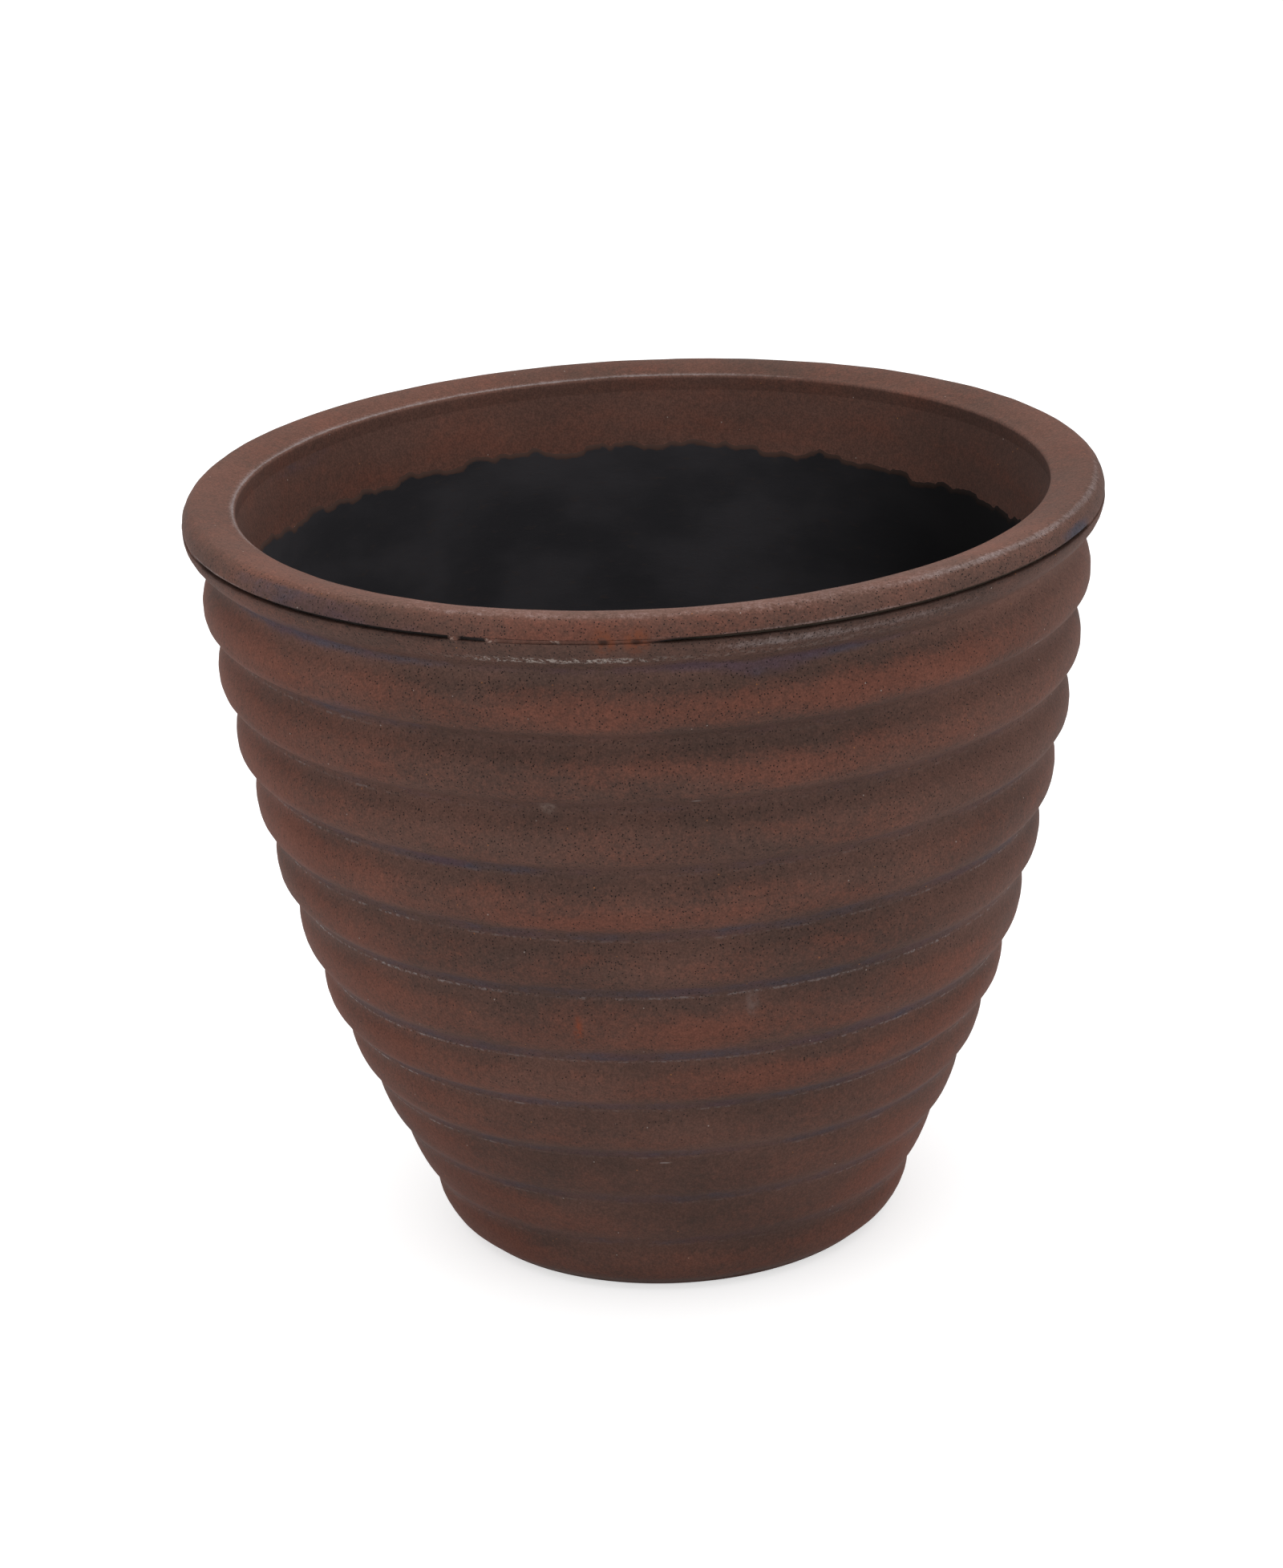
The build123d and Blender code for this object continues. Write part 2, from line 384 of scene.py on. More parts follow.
seamDimples = {
    "angles": (-5.2, -1.5), "halo": "#75432f", "haloAt": (467.5, 280), "haloReach": 11,
    "dimpleShade": "#2c1d18", "dimpleShadeAt": (466.8, 279.5), "dimpleShadeReach": 3.2, "dimpleShadeStretch": (1.4, 1, 0.8),
}


def seamMarks(tree, place, colour):
    # two finger dimples where the last filler went in, each with a halo of rust and a dark dab of painted shade
    # in its hollow
    marks = seamDimples
    rust = washMask(tree, mottling(tree, place, 5, 1.0, 4, 0.7), 0.35, 0.6, 0.1, 1.0)
    for angle in marks["angles"]:
        halo = dabAt(tree, place, (angle, *marks["haloAt"]), marks["haloReach"], within=[rust])
        # painted shade: the dimple's hollow is drawn as a dark dab
        dimpleShade = dabAt(tree, place, (angle, *marks["dimpleShadeAt"]), marks["dimpleShadeReach"], marks["dimpleShadeStretch"], 0.8)
        colour = layWashes(tree, colour, [(marks["halo"], halo), (marks["dimpleShade"], dimpleShade)])
    return colour


# single marks on the wall: an orange run, two pale rubs and three nicks, each as colour, (angle,
# height, radius), reach in mm, stretch per axis and strength
wallMarks = (
    ("#8a4228", (-13.2, 210, 225.5), 11, (0.35, 1, 1.2), 0.8),
    ("#8f7a70", (-14.2, 360, 252.3), 7, (1, 1, 1), 0.6),
    ("#75605a", (12.8, 224, 226), 9, (0.6, 1, 1.3), 0.6),
    ("#8d807c", (5.2, 363, 256.2), 6, (1, 1, 0.16), 1.0),
    ("#8d807c", (-1.5, 107.3, 185), 6, (1, 1, 0.12), 1.0),
    ("#8d7f78", (57.5, 410.8, 268.4), 7, (1, 1, 0.2), 0.8),
)


def rustWashedClay():
    # cast fibre clay under the rubbed wash: dry, sandy and mottled, with no shine
    material, tree = newFinish("rustWashedClay")
    place, reading, colour, relief = rustWash(tree)
    thin = washMask(tree, mottling(tree, place, 5, 1.0, 3, 0.7, 6.0), 0.35, 0.65)
    colour = layWashes(tree, colour, [
        (code, dabAt(tree, place, spot, reach, stretch, strength, [thin]))
        for code, spot, reach, stretch, strength in wallMarks])
    return matteShader(material, tree, seamMarks(tree, place, colour), relief)


def rustWashedRim():
    # the same washed clay; its readings make the top paler, worn along the mouth's edge and painted highlight
    # towards the front
    material, tree = newFinish("rustWashedRim")
    place, reading, colour, relief = rustWash(tree)
    return matteShader(material, tree, seamMarks(tree, place, colour), relief)


def seamFiller():
    # sandy cement filler pressed in by hand: crumbly, with painted shade, almost black, where it lies back in
    # the slit
    material, tree = newFinish("seamFiller")
    place, reading, colour, relief = rustWash(tree)
    crumbs = washMask(tree, mottling(tree, place, 3.0, 1.0, 3, 0.7), 0.52, 0.62, within=[reading["chalk"]])
    # the dark wash on the damp reading is painted shade in the slit; the brown one on the dust reading is
    # painted light to the right
    colour = layWashes(tree, colour, [
        ("#a08a80", crumbs), ("#2c2725", reading["dampAndShade"]), ("#4a4037", reading["dustAndLight"])])
    return matteShader(material, tree, seamMarks(tree, place, colour), relief)


def blackSealer():
    # bituminous paint brushed on by hand: matte black, slightly cloudy, brown where it lies thin
    material, tree = newFinish("blackSealer")
    place = addNode(tree, "ShaderNodeTexCoord", output="Object")
    cloud = mottling(tree, place, 80, 1.6, 3, 0.5)
    strokes = mottling(tree, place, 11, 3.5, 4, 0.65, 2.0)
    shade, thin = [addNode(tree, "ShaderNodeAttribute", {"attribute_name": name}, output="Fac")
                   for name in ("shade", "thin")]
    colour = layWashes(tree, srgb("#2c2b2e"), [
        ("#39373a", washMask(tree, cloud, 0.35, 0.68)),
        ("#3d3431", washMask(tree, strokes, 0.56, 0.8, 0.0, 0.6)),
        ("#4d3830", washMask(tree, strokes, 0.95, 1.3, 0.0, 0.85, [(thin, 1.0)]))])
    # painted shade: the coat darkened inside towards the right
    colour = addNode(tree, "ShaderNodeVectorMath", {"operation": "MULTIPLY"}, {0: colour, 1: shade})
    return matteShader(material, tree, colour, strokes, 0.75, 0.2, 0.1)


def sandyFinish(name, dark, pale, grain, patchSize, sandSize, roughness):
    # an uncoated mineral: soft patches of two tones, and grains of sand
    material, tree = newFinish(name)
    place = addNode(tree, "ShaderNodeTexCoord", output="Object")
    patches = mottling(tree, place, patchSize, 1.0, 4, 0.6)
    sand = mottling(tree, place, sandSize, 1.0, 2, 0.6)
    colour = layWashes(tree, srgb(dark), [
        (pale, washMask(tree, patches, 0.35, 0.65)), (grain, washMask(tree, sand, 0.62, 0.75, 0.0, 0.7))])
    return matteShader(material, tree, colour, sand, roughness, 0.3)


def rawClay():
    # bare cast fibre clay: dark grey-brown and sandy
    return sandyFinish("rawClay", "#3c3430", "#4c423c", "#6a5f57", 30, 1.8, 0.85)


def beddingMortar():
    # cement mortar, trowelled into the joint: grey, with dark grit
    return sandyFinish("beddingMortar", "#57524d", "#6b655e", "#3a3632", 12, 1.2, 0.9)


# How the finish is spread: readings per groove and rib, foot first

weather = {
    "chalkAtGroove": (0.0, 0.3, 0.35, 0.35, 0.6, 0.7, 1.0, 0.5, 0.25, 0.15, 0.1, 0.0, 0.0),
    "rustOnRib": (0.38, 0.24, 0.20, 0.24, 0.34, 0.36, 0.28, 0.33, 0.26, 0.29, 0.31, 0.15),
    "dampAtGroove": (0.25, 0.42, 0.50, 0.54, 0.54, 0.56, 0.55, 0.52, 0.44, 0.37, 0.32, 0.3, 0.2),
    "plain": {"rust": 0.25, "dampAndShade": 0.0, "chalk": 0.0, "pits": 0.0, "warm": 0.2, "dustAndLight": 0.0, "shade": 1.0},
}
# single stains and worn places: finish, angle, height, half width in degrees, half height in mm
# and amount
stains = (
    ("dampAndShade", -46, 448, 20, 13, 0.44), ("dampAndShade", -42, 410, 9, 9, 0.44), ("dampAndShade", -20, 392, 9, 6, 0.30),
    ("dampAndShade", 5, 448, 6, 6, 0.50), ("dampAndShade", 14, 440, 7, 6, 0.65), ("dampAndShade", 24, 447, 7, 6, 0.50),
    ("dampAndShade", -12, 448, 14, 6, 0.25), ("dampAndShade", 30, 345, 10, 6, 0.30), ("dampAndShade", -30, 316, 14, 7, 0.30),
    ("rust", 12, 421, 26, 9, 0.30), ("rust", 34, 425, 18, 12, 0.25), ("rust", 20, 380, 24, 9, 0.22),
    ("rust", -12, 286, 9, 8, 0.35), ("rust", 6, 290, 16, 6, 0.20), ("rust", -58, 14, 18, 14, 0.55),
    ("rust", -40, 60, 16, 12, 0.20), ("rust", 60, 60, 20, 20, 0.20), ("rust", -60, 425, 16, 10, 0.15),
    ("dampAndShade", -52, 448, 12, 9, 0.25), ("rust", 4, 205, 26, 10, 0.22), ("rust", 16, 168, 22, 9, 0.25),
    ("rust", -70, 330, 18, 60, 0.20), ("dustAndLight", 14, 461, 11, 4, 0.55), ("dustAndLight", 34, 460, 14, 4, 0.50),
    ("dustAndLight", 64, 436, 14, 14, 0.22), ("dampAndShade", 60, 300, 12, 60, 0.08), ("dustAndLight", -56, 448, 5, 9, 0.30),
    ("dustAndLight", -64, 405, 6, 3, 0.40), ("dustAndLight", 40, 452, 8, 6, 0.25), ("dustAndLight", 47, 320, 14, 3, 0.25),
    ("dustAndLight", -62, 455, 10, 5, 0.20), ("rust", -140, 440, 40, 16, 0.14),
    ("dampAndShade", -118, 462, 11, 9, 0.55), ("dampAndShade", 168, 455, 6, 16, 0.35),
)


def stainAmount(name, angle, height, inside):
    # the stains beyond 100 degrees are those of the bare band inside, at the back
    amount = 0.0
    for finish, at, level, wide, tall, strength in stains:
        if finish == name and inside == (abs(at) > 100):
            turn = (angle - at + 180) % 360 - 180
            amount += strength * hump(turn, 0, wide) * hump(height, level, tall)
    return amount


def weatherAndShadeLayers(mesh):
    return {name: mesh.verts.layers.float.new(name) for name in weatherAndShadeNames}


def paint(vert, layers, tone):
    for name, value in tone.items():
        vert[layers[name]] = value


def insideTone(angle):
    # bare clay above the sealer: redder at the back and left, in the light's shadow to the right
    return weather["plain"] | {
        "rust": 0.26, "warm": 0.5, "shade": 0.98 - 0.34 * smooth(165, 120, angle) * smooth(0, 60, angle)}


def wallTone(place, angle, height):
    # outside of the wall: rust on the ribs, blue-grey and lime in the grooves, redder to the sides, and painted
    # light and shade
    side = abs(angle)
    shown = smooth(175, 110, side)      # 0 at the back, so that left and right meet there
    rib = min(int(neckPlace), int(place))
    up = place - rib
    dampAndShade = weather["dampAtGroove"]
    tone = dict(weather["plain"])
    tone["rust"] = weather["rustOnRib"][rib] * smooth(0.05, 0.3, up) * smooth(1.0, 0.6, up)
    tone["rust"] += 0.08 * smooth(30, 65, side) + 0.22 * smooth(20, 50, side) * smooth(270, 90, height)
    tone["rust"] += 0.14 * smooth(-25, -55, angle) * shown
    tone["rust"] -= 0.10 * smooth(30, 60, angle) * smooth(120, 220, height) * shown
    tone["dampAndShade"] = dampAndShade[rib] * smooth(0.34, 0.06, up) + dampAndShade[rib + 1] * 0.5 * smooth(0.88, 0.99, up)
    tone["dampAndShade"] *= 1 - 0.35 * smooth(45, 80, side)
    tone["chalk"] = weather["chalkAtGroove"][round(place)] * (0.55 + 0.45 * smooth(10, 45, side))
    tone["chalk"] += 0.35 * smooth(-28, -50, angle) * shown * smooth(1.5, 3.5, place)
    if place > neckPlace + 0.2:         # the crust below the seam, thick where it was patched
        tone["chalk"] = smooth(-23, -18, angle) * smooth(3, -4, angle)
        tone["chalk"] += 0.25 * smooth(-34, -20, angle) * smooth(45, 10, angle)
    tone["pits"] = 0.62 * smooth(60, 330, height) * smooth(85, 20, side)
    tone["pits"] += 0.3 * smooth(neckPlace - 0.1, neckPlace + 0.2, place)
    tone["warm"] = 0.12 + 0.24 * smooth(20, 60, side) + 0.10 * smooth(240, 120, height)
    # painted light: the neck just under the bead lifted against the shade of the bead's overhang
    tone["shade"] = 1 + 0.42 * hump(place, neckPlace - 0.04, 0.26) * smooth(-85, -30, angle) * shown
    # darker towards the foot and on the left, lighter on the right; painted shade along the foot's bottom edge
    tone["shade"] -= 0.06 * smooth(320, 260, height) + 0.12 * smooth(170, 60, height)
    tone["shade"] -= (0.09 * smooth(-40, -60, angle) - 0.03 * smooth(50, 70, angle)) * shown
    tone["shade"] -= 0.30 * smooth(18, 0, height) * smooth(60, 10, side)
    # painted shade on the lip under the open slit, and on the wall's flat top seen inside it
    if place > lipPlace - 0.07:
        tone["shade"] -= 0.35 * seamOpen(angle)
    if place > lipPlace + 0.2:
        tone["shade"] = 0.3 + 0.35 * smooth(-5, 20, angle)
    return tone


def paintWall(mesh, placeLayer):
    layers = weatherAndShadeLayers(mesh)
    slack = 3.0         # mm that a point may lie out from the wall's inside and still belong to it
    for vert in mesh.verts:
        place = vert[placeLayer]
        angle = frontAngle(vert.co)
        height = vert.co.z / mm
        inside = place < 0 and radiusOf(vert) < innerRadius(min(height, bead["lowerLip"])) + slack
        tone = dict(weather["plain"])
        if place >= 0:
            tone = wallTone(place, angle, height)
        elif inside:
            tone = insideTone(angle)
        for name in ("rust", "dampAndShade", "dustAndLight"):
            tone[name] += stainAmount(name, angle, height, inside)
        paint(vert, layers, tone)


# Ribbed wall. The wander and swelling of its grooves and ribs, its lumps and the chips of its
# lip are in mm

wallMake = {
    "steps": 360, "ribPoints": 9, "footPoints": 6, "facePoints": 14, "lipRing": 273.0,
    "bandRings": (460.0, 452.0), "insideRows": 16,
    "grooveWander": 1.0, "bulge": 0.45, "lump": 0.16, "lumpSize": 17.0, "beadLump": 0.25, "beadLumpSize": 9.0,
    "lipWear": 0.35, "lipChip": 0.5, "lipChipSize": 5.0,
}


def ribPoints():
    points = []
    groove = Vector((body["foot"], 0.0))
    for rib, (ribHeight, ribDepth) in enumerate(zip(body["ribHeights"], body["ribDepths"])):
        height = sum(body["ribHeights"][:rib + 1])
        nextGroove = Vector((grooveRadius(height), height))
        rise = nextGroove - groove
        crest = groove + rise * body["crestPlace"] + Vector((ribDepth, 0))
        below = rise * body["crestPlace"]
        above = rise - below
        halves = (
            (groove, groove + below * body["grooveRound"], crest - below * body["crestRound"], crest),
            (crest, crest + above * body["crestRound"], nextGroove - above * body["grooveRound"], nextGroove),
        )
        for half in halves:
            for radius, at in bezierRun(half, wallMake["ribPoints"])[:-1]:
                points.append((radius, at, rib + (at - groove.y) / ribHeight))
        groove = nextGroove
    return points, groove


def wallProfile():
    make = wallMake
    profile, neck = ribPoints()
    edge = body["footEdge"]
    while profile[0][1] < edge:
        profile.pop(0)
    radius, height = profile[0][:2]
    footRound = bezierRun(((body["foot"] - edge, 0), (body["foot"] - edge * 0.4, 0),
                           (radius - 0.9, height * 0.45), (radius, height)), make["footPoints"])
    profile = [(radius, at, 0.0) for radius, at in footRound[:-1]] + profile
    lip, tongue = bead["lowerLip"], bead["tongueTop"]
    face = bezierRun((neck, neck + Vector((0, bead["underside"] / 2)),
                      (bead["radius"], neck.y + bead["underside"]), (bead["radius"], lip)), make["facePoints"])
    profile += [(radius, at, neckPlace + (at - neck.y) / (lip - neck.y)) for radius, at in face]
    profile += [(make["lipRing"], lip, slitPlace), (bead["tongueOut"], lip, slitPlace)]
    hidden = [(bead["tongueOut"], tongue), (bead["tongueIn"], tongue),
              (bead["tongueIn"], lip), (bead["mouth"], lip)]
    fall = body["ledgeHeight"] - body["neckHeight"]
    rings = [*make["bandRings"], body["neckHeight"]]
    rings += [body["neckHeight"] + fall * row / make["insideRows"] for row in range(1, make["insideRows"] + 1)]
    inside = [(innerRadius(at), at) for at in rings]
    ledge = inside[-1][0] - body["ledgeWidth"]
    under = [(ledge, body["ledgeHeight"]), (ledge, 0.0), ((ledge + body["foot"]) / 2, 0.0)]
    return profile + [(radius, at, noPlace) for radius, at in hidden + inside + under]


def wallWander(mesh, placeLayer):
    # hand-shaped unevenness: grooves wander up and down, ribs swell and thin
    make = wallMake
    calmFoot = 0.05
    for vert in mesh.verts:
        place = vert[placeLayer]
        if place < calmFoot:
            continue
        angle = frontAngle(vert.co)
        calm = smooth(calmFoot, 0.6, place) * smooth(neckPlace + 0.6, neckPlace, place)
        vert.co.z += make["grooveWander"] * mm * calm * ringNoise(angle, 1.6, place * 0.9, 3.0)
        out = make["bulge"] * ringNoise(angle, 2.4, place * 1.6, 9.0)
        out += make["lump"] * lumpNoise(vert, make["lumpSize"])
        if place > neckPlace + 0.3:         # the bead's lumps only sink, so that it keeps its size
            out = make["beadLump"] * (lumpNoise(vert, make["beadLumpSize"]) - 1)
        if lipPlace - 0.03 < place < lipPlace + 0.2:
            chip = make["lipChip"] * lumpNoise(vert, make["lipChipSize"])
            vert.co.z -= (make["lipWear"] + chip) * mm * seamOpen(angle)
        setRadius(vert, min(radiusOf(vert) + out, bead["radius"]))


mesh, placeLayer = spunPiece(wallProfile(), wallMake["steps"],
                             ((bead["radius"], bead["lowerLip"], bead["lipEdge"]),))
wallWander(mesh, placeLayer)
paintWall(mesh, placeLayer)
ribbedWall = finishPiece("RibbedWall", mesh, rustWashedClay())
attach(ribbedWall, "root")
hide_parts("ribbed_wall")
print("ribbed wall made", len(ribbedWall.data.polygons))


# Rim ring, with notches that a tool left across the slit at the right

rimMake = {
    "steps": 720, "sidePoints": 16, "topPoints": 14, "edgePoints": 6, "lipRing": 274.5, "mouthRing": 471.0,
    "unevenness": 0.3, "lumpSize": 14.0, "waveSize": 30.0, "lipWander": 0.35, "lipWear": 0.3, "notch": 2.8,
}


def rimProfile():
    make, top, lip = rimMake, bead["top"], bead["upperLip"]
    crown = Vector((bead["crown"], top))
    mouth = Vector((bead["mouth"] + bead["mouthEdge"], bead["mouthTop"]))
    dip = Vector(((bead["crown"] - mouth.x) / 2, 0))
    fall = Vector((0, (top - bead["mouthTop"]) / 4))
    edge = bead["mouthEdge"]
    runs = (
        bezierRun(((bead["radius"], lip), (bead["radius"], (lip + top) / 2),
                   ((bead["radius"] + bead["crown"]) / 2, top), crown), make["sidePoints"]),
        bezierRun((crown, crown - dip, mouth + dip / 2 + fall, mouth), make["topPoints"]),
        bezierRun((mouth, mouth - Vector((edge * 0.55, 0)), (bead["mouth"], bead["mouthTop"] - edge * 0.45),
                   (bead["mouth"], bead["mouthTop"] - edge)), make["edgePoints"]),
    )
    profile = [(*runs[0][0], rimPlace)]
    for start, run in enumerate(runs):
        steps = len(run) - 1
        profile += [(*point, rimPlace + start + step / steps) for step, point in enumerate(run)][1:]
    slotIn, slotOut = bead["tongueIn"] - bead["slotGap"], bead["tongueOut"] + bead["slotGap"]
    hidden = [(bead["mouth"], make["mouthRing"]), (bead["mouth"], lip), (slotIn, lip),
              (slotIn, bead["slotTop"]), (slotOut, bead["slotTop"]), (slotOut, lip), (make["lipRing"], lip)]
    return profile + [(radius, height, rimPlace + 3) for radius, height in hidden]


def rimWander(mesh, placeLayer):
    # lumps and waves nearly always sink, so that the rim keeps its size
    make = rimMake
    for vert in mesh.verts:
        angle = frontAngle(vert.co)
        up = vert[placeLayer] - rimPlace
        if up < 2.5:
            out = make["unevenness"] * (lumpNoise(vert, make["lumpSize"]) - 0.9) * smooth(2.0, 1.0, up)
            setRadius(vert, radiusOf(vert) + out)
            sink = make["unevenness"] * (lumpNoise(vert, make["waveSize"]) - 0.8) * smooth(0.3, 1.0, up)
            vert.co.z += sink * mm
        if up < 0.1:
            vert.co.z += make["lipWander"] * mm * ringNoise(angle, 40, 0, 5.0)
        if up < 0.05:
            notch = max(0.0, ringNoise(angle, 130, 0, 8.0)) * smooth(38, 46, angle) * smooth(70, 64, angle)
            vert.co.z += (make["lipWear"] + make["notch"] * notch) * mm * seamOpen(angle)


def rimTone(up, angle):
    # up is 0 at the lower lip, 1 at the crown, 2 at the mouth's edge and 3 inside
    if up > 2.9:
        return insideTone(angle)
    side = abs(angle)
    onOuter = smooth(0.85, 0.5, up)
    onTop = smooth(0.5, 0.9, up) * smooth(2.6, 2.2, up)
    inside = smooth(2.4, 3.0, up)
    roundOver = hump(up, 0.75, 0.26)
    mouthEdge = hump(up, 2.2, 0.35)
    backLeft = max(smooth(-30, -75, angle), smooth(140, 175, angle))
    lip = smooth(0.16, 0.0, up)
    streak = onOuter * hump(angle, 64, 6) * smooth(0.5, 0.2, up)
    tone = dict(weather["plain"])
    tone["rust"] = 0.2 + 0.12 * onOuter * smooth(34, 10, side) + 0.25 * onOuter * hump(angle, -9, 9)
    tone["dampAndShade"] = 0.15 * onOuter + 0.7 * streak + 0.45 * onOuter * hump(angle, -45, 18)
    tone["dampAndShade"] += 0.3 * onTop * hump(angle, 22, 9)
    tone["pits"] = (0.85 * onOuter + 0.3 * onTop) * smooth(95, 40, side)
    tone["warm"] = 0.25 + 0.25 * inside
    tone["dustAndLight"] = roundOver * (0.45 * smooth(25, 50, angle) * smooth(105, 75, angle) + 0.12)
    tone["dustAndLight"] += (0.2 + 0.6 * backLeft) * mouthEdge * smooth(30, 90, side)
    # painted highlight: the top paler towards the front, where it faces the light
    tone["dustAndLight"] += 0.36 * onTop * smooth(75, 20, side)
    tone["dustAndLight"] += 0.35 * lip * smooth(75, 60, side) + 0.5 * lip * smooth(50, 66, -angle)
    tone["dustAndLight"] += 0.26 * onOuter * hump(angle, 20, 14)
    # painted light and shade: the top lighter at the front and darker at the back
    tone["shade"] = 1.0 + 0.24 * onTop * smooth(80, 25, side) - 0.08 * onTop * smooth(130, 170, side)
    # painted light on the inner face under the mouth and on the outer face to the right; painted shade on the
    # lower lip over the open slit
    tone["shade"] += 0.22 * inside + 0.20 * onOuter * smooth(8, 25, angle) * smooth(90, 50, angle)
    tone["shade"] -= 0.35 * smooth(0.03, 0.0, up) * seamOpen(angle)
    return tone


mesh, placeLayer = spunPiece(rimProfile(), rimMake["steps"],
                             ((bead["radius"], bead["upperLip"], bead["lipEdge"]),))
rimWander(mesh, placeLayer)
layers = weatherAndShadeLayers(mesh)
for vert in mesh.verts:
    paint(vert, layers, rimTone(vert[placeLayer] - rimPlace, frontAngle(vert.co)))
rimRing = finishPiece("RimRing", mesh, rustWashedRim())
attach(rimRing, "root")
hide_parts("rim_ring")
print("rim made", len(rimRing.data.polygons))


# Filler in the seam. Its visible points carry how far up the seam they are, 0 to 1, as their place

fillerMake = {
    "steps": 900, "rows": 5, "least": 0.3, "crumb": 0.35, "crumbSize": 3.5,
    "hollow": 0.4, "hollowSize": 6.0, "hollowFrom": 2.0, "patchBack": 0.15,     # hollows only in the deep slit
    "paleCrumbs": (-23.0, -18.6, -10.8),        # angles where pale crumbs stick out of the patch
}


def fillerProfile():
    low, high = bead["lowerLip"], bead["upperLip"]
    shares = [row / (fillerMake["rows"] - 1) for row in range(fillerMake["rows"])]
    face = [(bead["radius"], low + (high - low) * share, share) for share in shares]
    slotIn, slotOut = bead["tongueIn"] - bead["slotGap"], bead["tongueOut"] + bead["slotGap"]
    back = [(slotOut, high), (slotOut, bead["slotTop"]), (slotIn, bead["slotTop"]), (slotIn, high)]
    back += [(bead["mouth"], height) for height in (high, (low + high) / 2, low)]
    back += [(bead["tongueIn"], low), (bead["tongueIn"], bead["tongueTop"]),
             (bead["tongueOut"], bead["tongueTop"]), (bead["tongueOut"], low)]
    return face + [(radius, height, noPlace) for radius, height in back]


def pressFiller(mesh, placeLayer):
    # pushes the face back to its depth, with crumbs and hollows, and paints it, with painted shade deeper in
    # the slit
    make = fillerMake
    layers = weatherAndShadeLayers(mesh)
    for vert in mesh.verts:
        up = vert[placeLayer]
        angle = frontAngle(vert.co)
        paint(vert, layers, insideTone(angle))
        if up < 0:
            continue
        back = between(seamDepth["low"], angle) * (1 - up) + between(seamDepth["high"], angle) * up
        deepEnough = back >= make["hollowFrom"]
        hollow = make["hollow"] * lumpNoise(vert, make["hollowSize"]) if deepEnough else make["patchBack"]
        back += make["crumb"] * lumpNoise(vert, make["crumbSize"]) + hollow
        setRadius(vert, bead["radius"] - max(make["least"], back))
        # painted shade: darker the further back the face lies, and a little lighter to the right
        deep = smooth(0.9, 2.6, back)
        paint(vert, layers, {
            "shade": 1.0, "warm": 0.4, "dampAndShade": deep,
            "dustAndLight": deep * smooth(-2, 12, angle) * smooth(75, 55, angle),
            "chalk": max(hump(angle, at, 0.7) for at in make["paleCrumbs"])})
        vert[placeLayer] = noPlace


mesh, placeLayer = spunPiece(fillerProfile(), fillerMake["steps"])
pressFiller(mesh, placeLayer)
seamFill = finishPiece("SeamFiller", mesh, seamFiller())
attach(seamFill, "root")
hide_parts("rim_joint_filler")
print("seam filler made", len(seamFill.data.polygons))


# Sealer coat: brushed over the slab and up the wall to a ragged edge. The place of its points is 0
# to 1 up the face, 2 to 3 up the back, and below 0 on the floor

coatMake = {
    "steps": 720, "thickness": 0.8, "least": 0.05, "floor": 36.8, "slabTop": 36.0, "top": 431.0, "hole": 20.0,
    "floorRings": (60.0, 95.0), "feather": 2.0, "tip": 0.4, "wallGap": 0.02, "thinReach": 7.0,
    "rows": (0.0, 0.12, 0.24, 0.36, 0.48, 0.58, 0.67, 0.75, 0.82, 0.87, 0.905, 0.935, 0.955, 0.97, 0.98, 0.987,
             0.992, 0.996, 1.0),
    # angle and height of the upper edge; the back of the pot is at 180 and -180
    "edge": ((-180, 431.0), (-158, 431.5), (-128, 430.0), (-101, 431.6), (-75, 427.0), (-40, 428.0), (0, 427.0),
             (40, 426.0), (75, 424.0), (105.6, 422.3), (119.6, 423.3), (134, 422.5), (157, 428.4), (172, 430.8),
             (180, 431.0)),
    "waves": ((2.6, 7, 0, 2.0), (2.6, 20, 1, 7.0), (1.1, 46, 2, 11.0)),     # height in mm, then the ring noise
    "lap": 2.6,         # step in mm where one brushful laps the next
}


def coatProfile():
    make = coatMake
    profile = [(make["hole"], make["slabTop"], -3.0)]
    profile += [(radius, make["floor"], -2.0) for radius in (make["hole"], *make["floorRings"])]
    for row in make["rows"]:
        height = make["floor"] + (make["top"] - make["floor"]) * row
        profile.append((innerRadius(height) - make["thickness"], height, row))
    for row in make["rows"][::-1]:
        height = make["slabTop"] + (make["top"] - make["slabTop"]) * row
        profile.append((innerRadius(height), height, 2.0 + row))
    return profile


def brushCoat(mesh, placeLayer):
    # draws the coat up to its ragged edge, feathers it there and paints its shade
    make = coatMake
    shade = mesh.verts.layers.float.new("shade")
    thin = mesh.verts.layers.float.new("thin")
    for vert in mesh.verts:
        row = vert[placeLayer]
        vert[shade] = 1.0
        if row < 0:
            continue
        angle = frontAngle(vert.co)
        atWall = row >= 1.5
        edge = between(make["edge"], angle)
        edge += sum(tall * ringNoise(angle, around, up, seed) for tall, around, up, seed in make["waves"])
        edge += make["lap"] * (smooth(-0.08, 0.08, ringNoise(angle, 13, 3, 5.0)) - 0.5)
        base = make["slabTop"] if atWall else make["floor"]
        height = base + (edge - base) * (row - 2.0 if atWall else row)
        thickness = make["thickness"] * smooth(0.0, make["feather"], edge - height + make["tip"])
        inset = make["wallGap"] if atWall else max(make["least"], thickness)
        setRadius(vert, innerRadius(height) - inset)
        vert.co.z = height * mm
        # painted shade: darker inside towards the right
        vert[shade] = 1.0 - 0.88 * smooth(172, 118, angle) * smooth(-20, 50, angle)
        vert[thin] = smooth(make["thinReach"], 0.0, edge - height)


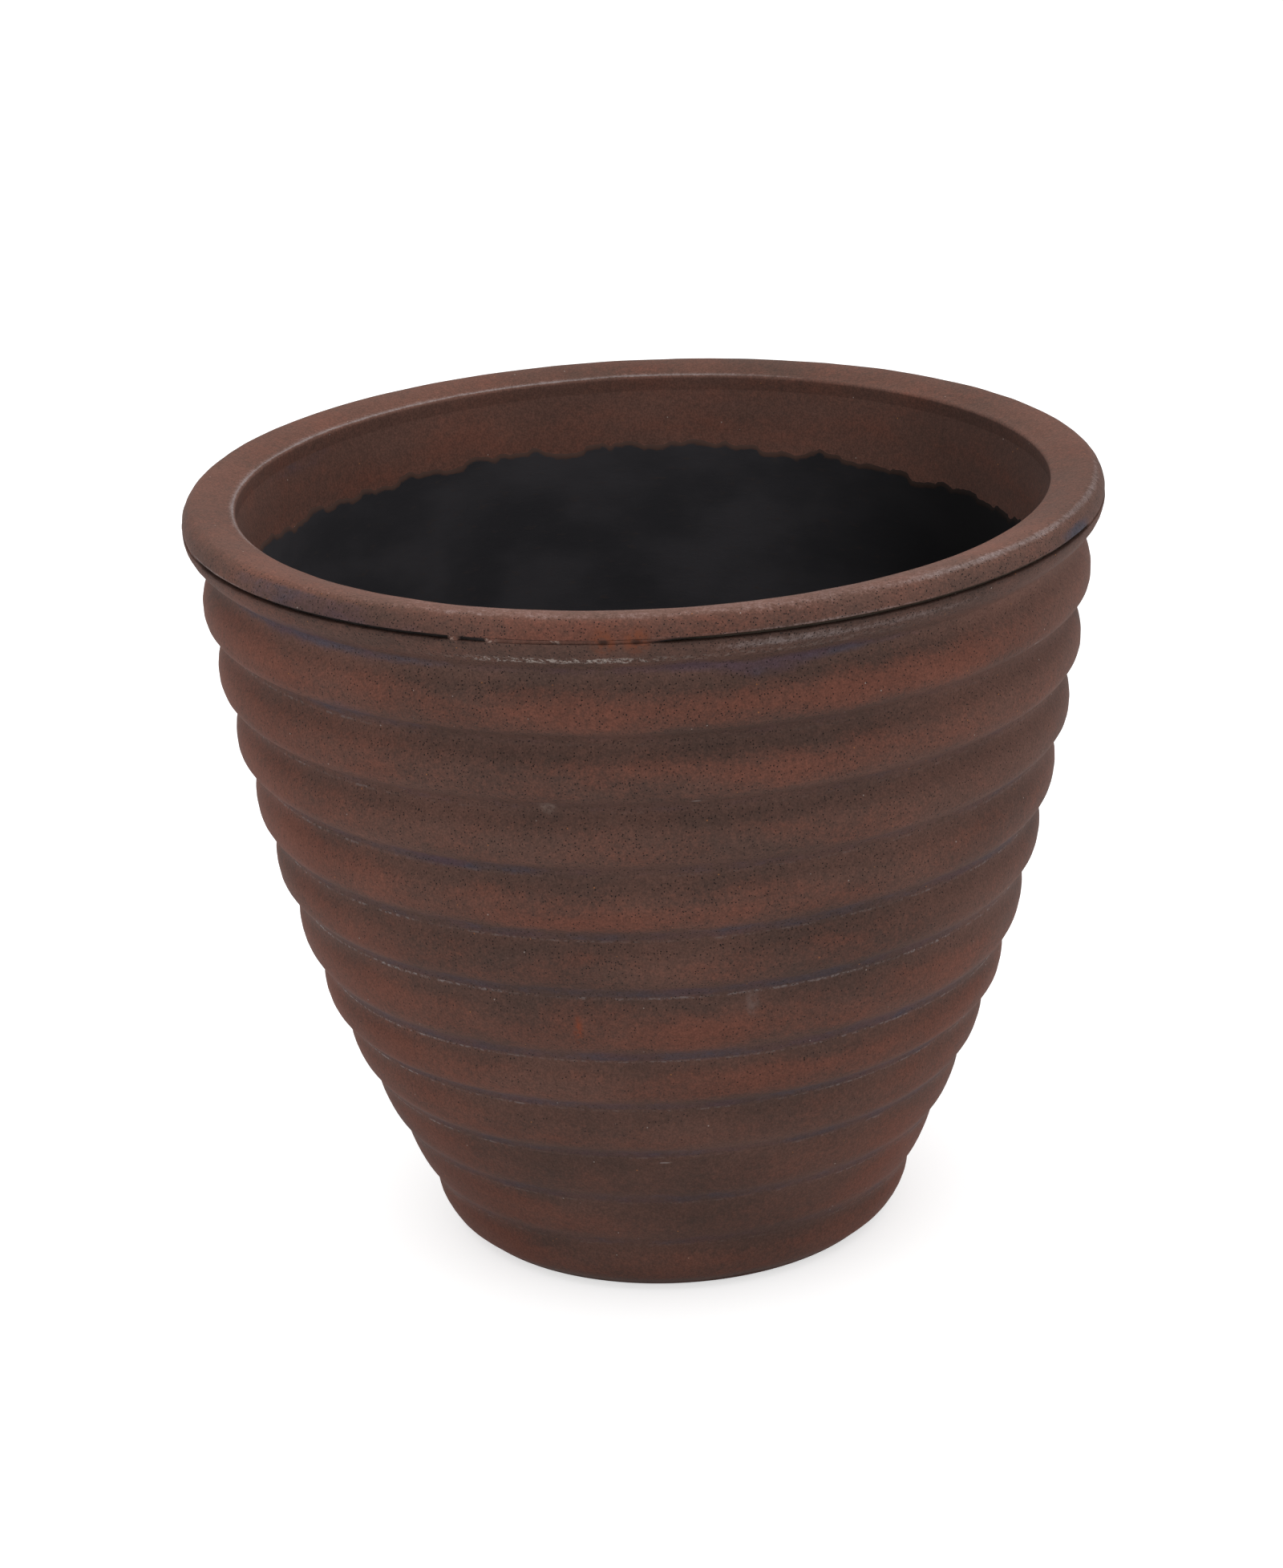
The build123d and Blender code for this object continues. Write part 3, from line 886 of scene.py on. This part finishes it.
mesh, placeLayer = spunPiece(coatProfile(), coatMake["steps"])
brushCoat(mesh, placeLayer)
sealerCoat = finishPiece("SealerCoat", mesh, blackSealer())
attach(sealerCoat, "root")
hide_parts("sealer_coat")
print("sealer coat made", len(sealerCoat.data.polygons))


# Base slab

slabMake = {
    "steps": 180, "hole": 16.0, "bottom": 14.0, "top": 36.0, "gap": 2.0, "edge": 1.2,
    "underRings": (0.25, 0.5, 0.75, 1),         # shares of the way out from the hole
}


def slabProfile():
    hole, low, high = slabMake["hole"], slabMake["bottom"], slabMake["top"]
    outLow, outHigh = [innerRadius(height) - slabMake["gap"] for height in (low, high)]
    under = [(hole + (outLow - hole) * share, low) for share in slabMake["underRings"]]
    section = [(hole, high), (hole, low), *under, (outHigh, high)]
    return [(radius, height, noPlace) for radius, height in section]


mesh, placeLayer = spunPiece(slabProfile(), slabMake["steps"],
                             ((slabMake["hole"], slabMake["bottom"], slabMake["edge"]),))
baseSlab = finishPiece("BaseSlab", mesh, rawClay())
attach(baseSlab, "root")
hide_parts("base_slab")
print("base slab made", len(baseSlab.data.polygons))

mortar = beddingMortar()
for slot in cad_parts["base_bedding"].material_slots:
    slot.material = mortar
print("mortar finished")


# Floor and light

studio = {
    "worldStrength": 0.74, "topWatts": 30.0, "topSize": 3.2, "topPlace": (0.0, -0.4, 2.7),
    "floorSize": 15.0, "floorDrop": 0.4, "paper": "#e6e6e6", "paperGlow": 0.6,
}


def backdropSeen(tree):
    # 1 where the backdrop is looked at, straight or in a reflection, and 0 where it lights the pot
    rays = addNode(tree, "ShaderNodeLightPath").node.outputs
    seen = rays["Is Camera Ray"]
    for ray in ("Is Glossy Ray", "Is Transmission Ray"):
        seen = addNode(tree, "ShaderNodeMath", {"operation": "MAXIMUM"}, {0: seen, 1: rays[ray]})
    return seen


def whitePaper():
    # seamless paper: white to the camera, with the pot's soft shadow kept
    material, tree = newFinish("whitePaper")
    strength = washMask(tree, backdropSeen(tree), 0.0, 1.0, 0.0, studio["paperGlow"])
    paper = addNode(tree, "ShaderNodeBsdfDiffuse", {}, {"Color": srgb(studio["paper"])})
    glow = addNode(tree, "ShaderNodeEmission", {}, {"Color": (1, 1, 1, 1), "Strength": strength})
    shader = addNode(tree, "ShaderNodeAddShader", {}, {0: paper, 1: glow})
    addNode(tree, "ShaderNodeOutputMaterial", {}, {"Surface": shader})
    return material


def makeFloor():
    mesh = bmesh.new()
    bmesh.ops.create_grid(mesh, x_segments=1, y_segments=1, size=studio["floorSize"])
    bmesh.ops.translate(mesh, verts=mesh.verts, vec=(0, 0, -studio["floorDrop"] * mm))
    return finishPiece("StudioFloor", mesh, whitePaper())


def makeWorld():
    world = bpy.data.worlds.new("studioWorld")
    bpy.context.scene.world = world
    world.use_nodes = True
    tree = world.node_tree
    tree.nodes.clear()
    strength = washMask(tree, backdropSeen(tree), 0.0, 1.0, studio["worldStrength"], 1.0)
    sky = addNode(tree, "ShaderNodeBackground", {}, {"Color": (1, 1, 1, 1), "Strength": strength})
    addNode(tree, "ShaderNodeOutputWorld", {}, {"Surface": sky})


def makeLamp():
    light = bpy.data.lights.new("softTop", "AREA")
    light.shape = "SQUARE"
    light.size = studio["topSize"]
    light.energy = studio["topWatts"]
    lamp = bpy.data.objects.new("softTop", light)
    lamp.matrix_world = Matrix.Translation(studio["topPlace"])
    bpy.context.scene.collection.objects.link(lamp)


floor = makeFloor()
makeWorld()
makeLamp()
print("floor and light set")
